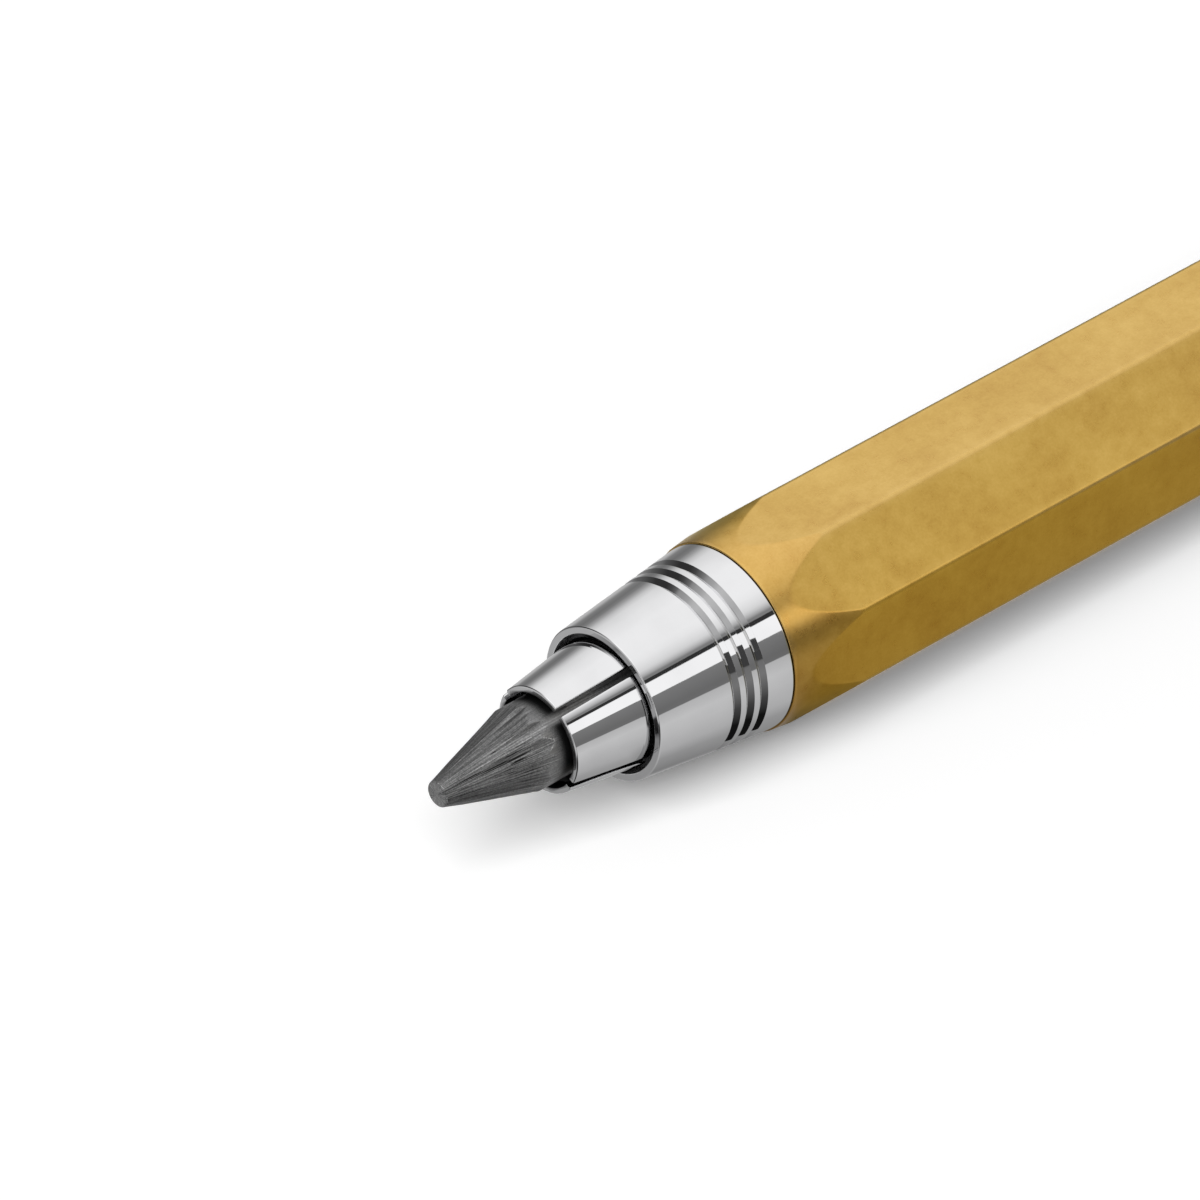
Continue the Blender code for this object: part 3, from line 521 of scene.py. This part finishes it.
def leadGrid(s):
    # radius = the smaller of the round side and a cone with flats, each at cone radius / cos(angle away)
    chance = np.random.default_rng(s["seed"])
    angle = np.arange(s["around"]) * math.tau / s["around"]
    blunt = roundedOutline([(0, 0), (0, s["tip"], s["tipRound"]), (s["point"], s["radius"])])[1:-1]
    faceR = np.linspace(s["faceInner"], blunt[0, 1], s["faceSteps"] + 1)[:-1]
    slope = (s["radius"] - s["tip"]) / s["point"]
    cut = np.linspace(blunt[-1, 0], s["cutEnd"], s["pointSteps"])[1:]
    stem = np.array([*s["stem"], s["length"]])
    x = np.concatenate([0 * faceR, blunt[:, 0], cut, stem])[:, None]
    cone = np.concatenate([faceR, blunt[:, 1], s["tip"] + slope * cut, s["tip"] + slope * stem])[:, None]
    middle, depth = np.array(s["strokes"]).T
    away = (np.degrees(angle) - middle[:, None] + 180) % 360 - 180
    lean = chance.normal(size=len(middle))[:, None, None] * s["lean"] * (x - s["leanFrom"]) / s["leanFrom"]
    flats = 1 / np.cos(np.radians(np.clip(away[:, None] + lean, -s["flatWidest"], s["flatWidest"])))
    nearest = abs(away).argmin(0)
    waves = np.arange(*s["fineWaves"])
    phase = chance.uniform(0, math.tau, len(waves))[:, None, None]
    twist = chance.normal(size=len(waves))[:, None, None] * s["fineTwist"] * x
    height = chance.normal(size=len(waves)) / math.sqrt(len(waves))
    ripple = np.tensordot(height, np.cos(waves[:, None, None] * angle + phase + twist), 1)
    ripple *= s["ripple"] * (s["rippleLeast"] + np.interp(np.degrees(angle), middle, depth, period=360))
    loose = np.arange(*s["looseWaves"])
    phase = chance.uniform(0, math.tau, len(loose))[:, None]
    height = chance.normal(size=len(loose)) / np.sqrt(loose)
    stray = height @ np.cos(loose[:, None] * angle + phase) * s["wander"]
    stray = stray * np.clip((x - s["wanderFrom"]) / s["wanderOver"], 0, 1) ** 2
    grown = np.clip(x / s["flatGrow"], 0, 1)
    cone = cone * (1 + (flats.min(0) - s["flatMean"]) * grown) + ripple * grown + stray
    side = s["radius"] + 0 * cone
    radius = -s["soft"] * np.logaddexp(-cone / s["soft"], -side / s["soft"])
    shaved = 1 / (1 + np.exp(np.clip((cone - side) / (2 * s["soft"]), -60, 60)))  # 1 on the cut
    scored = shaved * depth[nearest] * np.clip((s["point"] - x) / s["scoreFade"], 0, 1)
    border = 4 * shaved * (1 - shaved) * np.clip(depth[nearest] * s["crumbGain"], 0, 1)
    # round the tip's rim: pale crumbs and a painted highlight
    tipEdge = np.exp(-((x - s["tipRimAt"]) / s["tipRimWidth"]) ** 2)
    border = border + s["tipCrumbAndHighlight"] * tipEdge * (cone > s["tipRimFrom"] * s["tip"])
    around = [s["radius"] * np.cos(angle) + 0 * radius, s["radius"] * np.sin(angle) + 0 * radius]
    grain = np.stack([s["drawnOut"] * x + 0 * radius, *around], -1)
    # painted shade is lifted along each slot between the jaws, where the lead is open to the light
    slots = np.array([degrees + 180 / len(jawTurns) for node, degrees, spring in jawTurns.values()])[:, None]
    fromSlot = np.radians((np.degrees(angle) - slots + 180) % 360 - 180) * s["radius"]
    unshadedTrack = np.exp(-(fromSlot / s["unshadedTrack"]) ** 4).max(0) + 0 * radius
    marks = dict(cutMark=scored, crumbAndRimLightMask=border, roundSide=1 - shaved, slotUnshaded=unshadedTrack)
    return x + 0 * radius, radius, angle, grain, marks


x, radius, angle, grain, marks = leadGrid(leadShape)
poles = onAxis(np.array([0.0, leadShape["length"]]), 0, 0)
points = np.concatenate([onAxis(x, radius, angle).reshape(-1, 3), poles])
marks = {key: np.concatenate([value.ravel(), [0, 0]]) for key, value in marks.items()}
grainEnds = [[0, 0, 0], [leadShape["length"] * leadShape["drawnOut"], 0, 0]]
marks["grainPlace"] = np.concatenate([grain.reshape(-1, 3), grainEnds])
faces = [gridFaces(*x.shape, wrapColumns=True), *poleFaces(*x.shape)]
piece = putMesh("leadCore", points, faces, shavedGraphite, sharp=60, values=marks)
standFor(piece, "lead", "lead")

# return spring: a round wire wound in a helix between its two seats
springShape = dict(front=38.35, back=55.65, radius=4.3, wire=0.7, turns=8, perTurn=56, round=20, start=90,
                   free=18.0, pressed=14.0)


def springTube(s):
    # centre = helix at a constant pitch; each ring of the wire stands square to it; a point closes each end
    count = s["turns"] * s["perTurn"] + 1
    t = np.linspace(0, 1, count)
    turn = math.radians(s["start"]) - math.tau * s["turns"] * t
    out = np.stack([0 * turn, -np.cos(turn), np.sin(turn)], -1)
    pitch = (s["back"] - s["front"]) / (s["turns"] * math.tau * s["radius"])
    side = np.stack([1 + 0 * turn, -pitch * np.sin(turn), -pitch * np.cos(turn)], -1) / math.hypot(1, pitch)
    centre = np.stack([s["front"] + (s["back"] - s["front"]) * t, 0 * t, 0 * t], -1) + s["radius"] * out
    spin = np.arange(s["round"]) * math.tau / s["round"]
    ring = np.cos(spin)[:, None] * out[:, None] + np.sin(spin)[:, None] * side[:, None]
    origin = [pointX, 0, axisZ]
    return (centre[:, None] + s["wire"] / 2 * ring) * mm + origin, centre[[0, -1]] * mm + origin


points, ends = springTube(springShape)
faces = [gridFaces(*points.shape[:2], wrapColumns=True), *poleFaces(*points.shape[:2])]
points = np.concatenate([points.reshape(-1, 3), ends])
piece = putMesh("returnSpring", points, faces, worksMaterials["spring_steel"], sharp=50)
standFor(piece, "return_spring", "barrel")
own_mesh(piece)

# rear cone, push button and its plain end plate
rearShape = dict(front=86.9, joint=94.9, end=97.9, outer=6.379, endOuter=5.575, endRound=0.4,
                 shankRadius=5.25, bore=4.65, lipBore=4.3, lipDepth=0.8, edgeRound=0.04, shadeRadius=4.35)
r = rearShape
lipBack = r["end"] - r["lipDepth"]
corners = [(r["front"], r["bore"]), (r["front"], r["shankRadius"]), (r["joint"], r["shankRadius"]),
           (r["joint"], r["outer"], r["edgeRound"]), (r["end"], r["endOuter"], r["endRound"]),
           (r["end"], r["lipBore"], r["edgeRound"]), (lipBack, r["lipBore"]), (lipBack, r["bore"])]
piece = turnedPiece("rearCone", corners, polishedChrome, around=256, innerRadius=r["shadeRadius"])
standFor(piece, "rear_cone", "barrel")

buttonShape = dict(front=84.1, wall=103.3, recess=104.8, end=105.4, outer=4.15, endRound=0.7, bore=3.45,
                   ring=86.1, ringHalf=0.27, ringGroove=3.89, recessRadius=3.3, edgeRound=0.06)
b = buttonShape
ringFront, ringBack = b["ring"] - b["ringHalf"], b["ring"] + b["ringHalf"]
corners = [(b["wall"], 0), (b["wall"], b["bore"]), (ringBack, b["bore"]), (ringBack, b["ringGroove"]),
           (ringFront, b["ringGroove"]), (ringFront, b["bore"]), (b["front"], b["bore"]),
           (b["front"], b["outer"], b["edgeRound"]), (b["end"], b["outer"], b["endRound"]),
           (b["end"], b["recessRadius"], b["edgeRound"]), (b["recess"], b["recessRadius"]), (b["recess"], 0)]
piece = turnedPiece("pushButton", corners, polishedChrome, around=256)
standFor(piece, "push_button", "button")

plateShape = dict(back=104.9, end=105.4, radius=3.25, edgeRound=0.12)
p = plateShape
corners = [(p["back"], 0), (p["back"], p["radius"]), (p["end"], p["radius"], p["edgeRound"]), (p["end"], 0)]
piece = turnedPiece("buttonPlate", corners, polishedChrome)
standFor(piece, "button_disc", "button")

# camera: the photograph's angle, with a long lens from about 70 cm
# focus and aimAt are in pixels of a square frame; aimAt is where the spot on the axis at aimX lies in it
cameraSet = dict(azimuth=-42.293, elevation=35.673, roll=-0.428, focus=11503.4, frame=1200, aimX=20.0,
                 aimAt=(678.20, 662.84), depth=709.63, sensor=36.0, near=0.01, far=20.0)


def placeCamera(c):
    # from the aimed spot back by the depth, then across by the spot's place in the frame x depth / focus
    azimuth, elevation, roll = (math.radians(c[key]) for key in ("azimuth", "elevation", "roll"))
    level = np.array([math.cos(azimuth), math.sin(azimuth), 0.0])
    back = np.array([math.sin(azimuth) * math.cos(elevation), -math.cos(azimuth) * math.cos(elevation),
                     math.sin(elevation)])
    upright = np.cross(back, level)
    right = math.cos(roll) * level + math.sin(roll) * upright
    up = math.cos(roll) * upright - math.sin(roll) * level
    aim = np.array([pointX + c["aimX"] * mm, 0.0, axisZ])
    sideways, upwards = c["aimAt"][0] - c["frame"] / 2, c["frame"] / 2 - c["aimAt"][1]
    scale = c["depth"] * mm / c["focus"]
    place = aim - sideways * scale * right - upwards * scale * up + c["depth"] * mm * back
    data = bpy.data.cameras.new("photoCamera")
    data.sensor_width = c["sensor"]
    data.lens = c["focus"] / c["frame"] * c["sensor"]
    data.clip_start, data.clip_end = c["near"], c["far"]
    camera = bpy.data.objects.new("photoCamera", data)
    camera.matrix_world = Matrix([*np.stack([right, up, back, place], 1), [0, 0, 0, 1]])
    bpy.context.scene.collection.objects.link(camera)
    bpy.context.scene.camera = camera


placeCamera(cameraSet)

# plain white paper floor; lift is a faint glow of its own that camera and mirror rays see, more at the back
floorSet = dict(half=4.0, drop=0.02, colour="#FAFAFA", lift=0.13, farLift=0.2, turnsFrom=4.0, turnsTo=14.0)
side = floorSet["half"]
points = np.array([[-side, -side, 0], [side, -side, 0], [side, side, 0], [-side, side, 0]])
points = points - [0, 0, floorSet["drop"] * mm]
whitePaper, tree, place = startMaterial("whitePaper")
seen = seenDirectly(tree)
across = addNode(tree, "SeparateXYZ", {0: place}, out="Y")
share = addNode(tree, "MapRange", {"Value": across, "From Min": floorSet["turnsFrom"] * mm,
                                   "From Max": floorSet["turnsTo"] * mm, "To Min": floorSet["lift"],
                                   "To Max": floorSet["farLift"]})
glow = addNode(tree, "Math", {0: seen, 1: share}, operation="MULTIPLY")
matt = addNode(tree, "BsdfDiffuse", {"Color": linear(floorSet["colour"])})
lift = addNode(tree, "Emission", {"Strength": glow})
both = addNode(tree, "AddShader", {0: matt, 1: lift})
addNode(tree, "OutputMaterial", {"Surface": both})
floor = putMesh("studioFloor", points, [np.arange(4)[None]], whitePaper)

# light tent over the pencil, seen only in reflections: a sill and wall on the near side, a white strip,
# a black gap, a soft ceiling; all stops are at an angle round the axis in degrees, counted as onAxis does
# before and nose are where the stretch over the nose begins, edge where its reflection ends on the tent
# each Glow is one stretch's brightness, from far ahead of the point to the barrel
# the tints are the warm sill and cool ceiling that the brass mirrors; a fade is how far two stretches blend
tentSet = dict(nearReach=48.0, farReach=26.0, floorDrop=6.43, start=-112, stop=217, steps=320,
               far=(-90, -43), ahead=(-38, -6), front=-2, jawEnd=14.6, behind=240,
               jawGap=0.1, jawFade=1.2, edgeFade=0.3, coneFade=1.0, tintFade=6.0,
               before=[(-20, 6.5), (-10, 8), (60, 8), (110, 16)],
               nose=[(-20, 8.2), (-10, 13), (60, 13), (110, 18.5)],
               edge=[(-66, 25.6), (-47, 26.1), (-37, 26.8), (-31, 27.5), (-25.4, 28.5), (-22.4, 29.2),
                     (-19.2, 30.3), (-16, 31.8), (-12.5, 34.3), (-9, 39.0), (-7.7, 41.6), (-4.1, 41.3),
                     (22.6, 40), (54.5, 38.4), (80.6, 37.2), (106, 36.3), (131.8, 35.9), (157.5, 36.3),
                     (173.5, 37.2), (190, 38.8), (217, 37.5)],
               coneWidth=[(-60, 5.5), (-40, 5.0), (-30, 1.8), (-14, 1.8), (0, 5.0)],
               coneTint=[(-66, 1.1, 1, 0.6), (-40, 1.16, 1, 0.3), (8, 1.18, 1, 0.15), (24, 1.12, 1, 0.95),
                         (50, 1.12, 1, 0.74), (66, 1.06, 1, 0.95), (84, 1.02, 1, 1.2), (123, 1.02, 1, 1.1),
                         (148, 1.05, 1, 0.5), (166, 0.94, 1, 0.5), (217, 1, 1, 1)],
               barrelTint=[(-66, 1.1, 1, 0.7), (-26, 1.11, 1, 0.42), (8, 1.11, 1, 0.42), (24, 1.05, 1, 0.8),
                           (45, 0.985, 1, 0.78), (66, 1, 1, 1), (126, 0.97, 1, 1.05), (150, 1, 1, 0.75),
                           (217, 1, 1, 0.8)],
               tintEnd=[(-66, 68), (14, 70), (24, 90), (66, 90), (100, 85), (217, 85)],
               farGlow=[(-66, 0.02), (-28, 0.05), (-19, 0.12), (-10, 0.29), (-2, 0.29), (-1.5, 0.08),
                        (23.5, 0.08), (23.9, 1.61), (40.9, 1.61), (41.4, 0.05), (45.5, 0.05), (46, 0.3),
                        (50, 0.55), (56, 0.7), (80, 0.8), (217, 0.8)],
               aheadGlow=[(-66, 0.5), (-20, 0.9), (40, 1.0), (60, 0.75), (75, 0.7), (100, 0.85), (106, 0.8),
                          (113, 0.62), (122, 0.5), (130, 0.7), (217, 0.8)],
               frontGlow=[(-112, 0.5), (-75, 0.5), (-68, 0.02), (-37, 0.03), (-28, 0.05), (-19, 0.1),
                          (-10, 0.14), (-2, 0.14), (-1.5, 0.08), (23.5, 0.08), (23.9, 1.61), (40.9, 1.61),
                          (41.4, 0.05), (45.5, 0.05), (46, 0.3), (50, 0.8), (58, 1.6), (70, 1.9), (100, 1.9),
                          (108, 1.3), (116, 0.6), (122, 0.38), (128, 0.22), (134, 0.1), (140, 0.05),
                          (152, 0.05), (160, 0.1), (170, 0.18), (194, 0.2), (197, 0.65), (217, 0.65)],
               jawGlow=[(-112, 0.45), (-66, 0.47), (-57, 0.515), (-51, 0.57), (-44, 0.68), (-38, 0.735),
                        (-30, 0.8)],
               noseGlow=[(-112, 0.5), (-75, 0.48), (-66, 0.28), (-62, 0.30), (-46, 0.48), (-37, 0.70),
                         (-23, 0.87), (-14, 0.94), (-9, 0.87), (-2, 0.80), (-1.2, 0.26), (4.5, 0.25),
                         (23.5, 0.33), (23.9, 1.61), (40.9, 1.61), (41.4, 0.05), (45.5, 0.05), (45.8, 0.35),
                         (48.3, 0.35), (51, 0.69), (54.5, 1.0), (57, 1.17), (61.6, 1.3), (68.7, 1.44),
                         (75.7, 1.5), (107, 1.5), (124, 1.38), (138, 1.2), (144.7, 0.94), (151.7, 0.57),
                         (158.7, 0.33), (165.8, 0.26), (176.8, 0.31), (188, 0.6), (217, 0.64)],
               coneGlow=[(-112, 0.05), (-66, 0.08), (-55, 0.14), (-43, 0.27), (-34, 0.3), (-24, 0.31),
                         (-10, 0.32), (-4, 0.28), (2, 0.14), (14, 0.14), (21, 0.3), (23, 2.0), (38, 2.0),
                         (41, 0.65), (52, 0.65), (60, 1.0), (72, 1.28), (90, 1.42), (110, 1.36), (121, 1.2),
                         (131, 1.0), (140, 0.8), (148, 0.6), (158, 0.28), (168, 0.27), (180, 0.35),
                         (195, 0.8), (217, 0.8)],
               barrelGlow=[(-112, 0.1), (-66, 0.25), (-50, 0.35), (-36, 0.42), (-30, 0.52), (-18, 0.54),
                           (-8, 0.42), (14, 0.38), (18, 1.2), (36, 1.15), (40, 0.98), (56, 0.98), (80, 1.15),
                           (100, 1.3), (134, 1.3), (142, 1.1), (155, 0.6), (166, 0.3), (185, 0.3),
                           (217, 0.5)])


def tentGrid(t):
    # reach = the mean of both walls + half their difference x cosine of the angle, cut off above the floor
    # each stretch has a row of points where it begins and one where it ends, with that stretch's glow
    stretches = ("far", "ahead", "front", "jaw", "nose", "cone", "barrel", "barrel")
    glow = {key: t[key + "Glow"] for key in stretches}
    highest = glow["jaw"][-1][0]
    glow["jaw"] = glow["jaw"] + [stop for stop in glow["nose"] if stop[0] > highest]  # alike from there up
    stops = [np.array(zone)[:, 0] for zone in glow.values()]
    degrees = np.unique(np.concatenate([np.linspace(t["start"], t["stop"], t["steps"]), *stops]))
    turn = np.radians(degrees)
    arch = (t["nearReach"] + t["farReach"]) / 2 + (t["nearReach"] - t["farReach"]) / 2 * np.cos(turn)
    reach = np.minimum(arch, t["floorDrop"] / np.maximum(-np.sin(turn), 1e-3))
    borders = ("before", "nose", "edge", "coneWidth", "tintEnd")
    before, nose, edge, width, tintEnd = (between(t[key], degrees) for key in borders)
    flat = np.ones_like(edge)
    still = np.array([*t["far"], *t["ahead"], t["front"]])[:, None] * flat
    jawEnd = np.maximum(nose, t["jawEnd"]) + t["jawGap"]
    coneEnd = edge + width
    rest = [before, nose, jawEnd, jawEnd + t["jawFade"], edge, edge + t["edgeFade"], coneEnd,
            coneEnd + t["coneFade"], tintEnd, tintEnd + t["tintFade"], t["behind"] * flat]
    level = np.stack([between(glow[key], degrees) for key in stretches for end in range(2)])[..., None]
    coneTint, barrelTint = (np.array(t[key]) for key in ("coneTint", "barrelTint"))
    coneTint, barrelTint = (np.stack([between(tint[:, [0, channel]], degrees) for channel in (1, 2, 3)], -1)
                            for tint in (coneTint, barrelTint))
    plain = np.ones_like(coneTint)
    tints = [coneTint if key == "cone" else plain for key in stretches for end in range(2)]
    tints[-4:-2] = [barrelTint, barrelTint]  # the last stretch of the barrel is plain again
    return onAxis(np.concatenate([still, rest]), reach, turn), level * np.stack(tints)


# the glow stops at light that has left a matt surface, so the metal throws no patches of it on the paper
points, brightness = tentGrid(tentSet)
tentCloth, tree, place = startMaterial("tentCloth")
level = addNode(tree, "Attribute", out="Vector", attribute_name="glow")
bounces = addNode(tree, "LightPath", out="Diffuse Depth")
fresh = addNode(tree, "Math", {0: 1.0, 1: bounces}, operation="SUBTRACT", use_clamp=True)
lamp = addNode(tree, "Emission", {"Color": level, "Strength": fresh})
addNode(tree, "OutputMaterial", {"Surface": lamp})
faces = [gridFaces(*brightness.shape[:2])]
tent = putMesh("lightTent", points, faces, tentCloth, values={"glow": brightness})
tent.visible_camera = tent.visible_diffuse = tent.visible_shadow = tent.visible_transmission = False

# a black flag ahead of each groove, which only the groove's rear wall mirrors: from the front it is clear;
# its glow is a painted reflection that darkens the grooves
flagSet = dict(ahead=0.06, lift=0.01, start=-80, stop=27, steps=110,
               height=[(-80, 2.0), (-35, 2.0), (-15, 1.0), (0, 0.75)],
               glow=[(-80, 0.01), (-25, 0.01), (-8, 0.09), (2, 0.21), (11, 0.31), (20, 0.26), (21, 0.08),
                     (27, 0.08)])


def flagGrid(f, n):
    # a strip for each groove: it stands on the cone just ahead of the groove, as high as its stops say
    degrees = np.linspace(f["start"], f["stop"], f["steps"])
    ahead = n["grooveBack"] + n["grooveWidth"] + f["ahead"]
    front = n["joint"] - ahead - n["groovePitch"] * np.arange(n["grooves"])[:, None, None]
    height = between(f["height"], degrees) * np.array([0, 1])[:, None]
    points = onAxis(front, noseRadius(n, front) + f["lift"] + height, np.radians(degrees))
    return points, np.broadcast_to(between(f["glow"], degrees), points.shape[:-1])


points, glow = flagGrid(flagSet, noseShape)
strips, rows, columns = glow.shape
faces = np.concatenate([gridFaces(rows, columns) + strip * rows * columns for strip in range(strips)])
grooveDarkReflection, tree, place = startMaterial("grooveDarkReflection")
level = addNode(tree, "Attribute", out="Fac", attribute_name="glow")
turned = addNode(tree, "NewGeometry", out="Backfacing")
lamp = addNode(tree, "Emission", {"Strength": level})
clear = addNode(tree, "BsdfTransparent")
sides = addNode(tree, "MixShader", {0: turned, 1: clear, 2: lamp})
addNode(tree, "OutputMaterial", {"Surface": sides})
flags = putMesh("grooveFlags", points, [faces], grooveDarkReflection, values={"glow": glow})
flags.visible_camera = flags.visible_diffuse = flags.visible_shadow = flags.visible_transmission = False

# a broad softbox ahead of the point on the near side and an even sky light the floor and the matt lead
lampSet = dict(aim=(-0.02, 0.0, 0.0), towards=(-0.7071, -0.2649, 0.6556), distance=2.5, long=3.0, wide=2.5,
               power=101.7, sky=0.2)
data = bpy.data.lights.new("softBox", "AREA")
data.shape, data.energy = "RECTANGLE", lampSet["power"]
data.size, data.size_y = lampSet["long"], lampSet["wide"]
softBox = bpy.data.objects.new("softBox", data)
outward = Vector(lampSet["towards"]).normalized()
across = (Vector((1, 0, 0)) - outward * outward.x).normalized()  # its long side runs with the pencil
turn = Matrix([across, outward.cross(across), outward]).transposed().to_4x4()
softBox.matrix_world = Matrix.Translation(Vector(lampSet["aim"]) + outward * lampSet["distance"]) @ turn
softBox.visible_glossy = False
bpy.context.scene.collection.objects.link(softBox)

world = bpy.data.worlds.new("studioSky")
bpy.context.scene.world = world
world.use_nodes = True
tree = world.node_tree
tree.nodes.clear()
level = addNode(tree, "MapRange", {"Value": seenDirectly(tree), "To Min": lampSet["sky"], "To Max": 1.0})
sky = addNode(tree, "Background", {"Strength": level})
addNode(tree, "OutputWorld", {"Surface": sky})
bpy.context.scene.view_settings.view_transform = "Standard"
print("camera, floor and light")
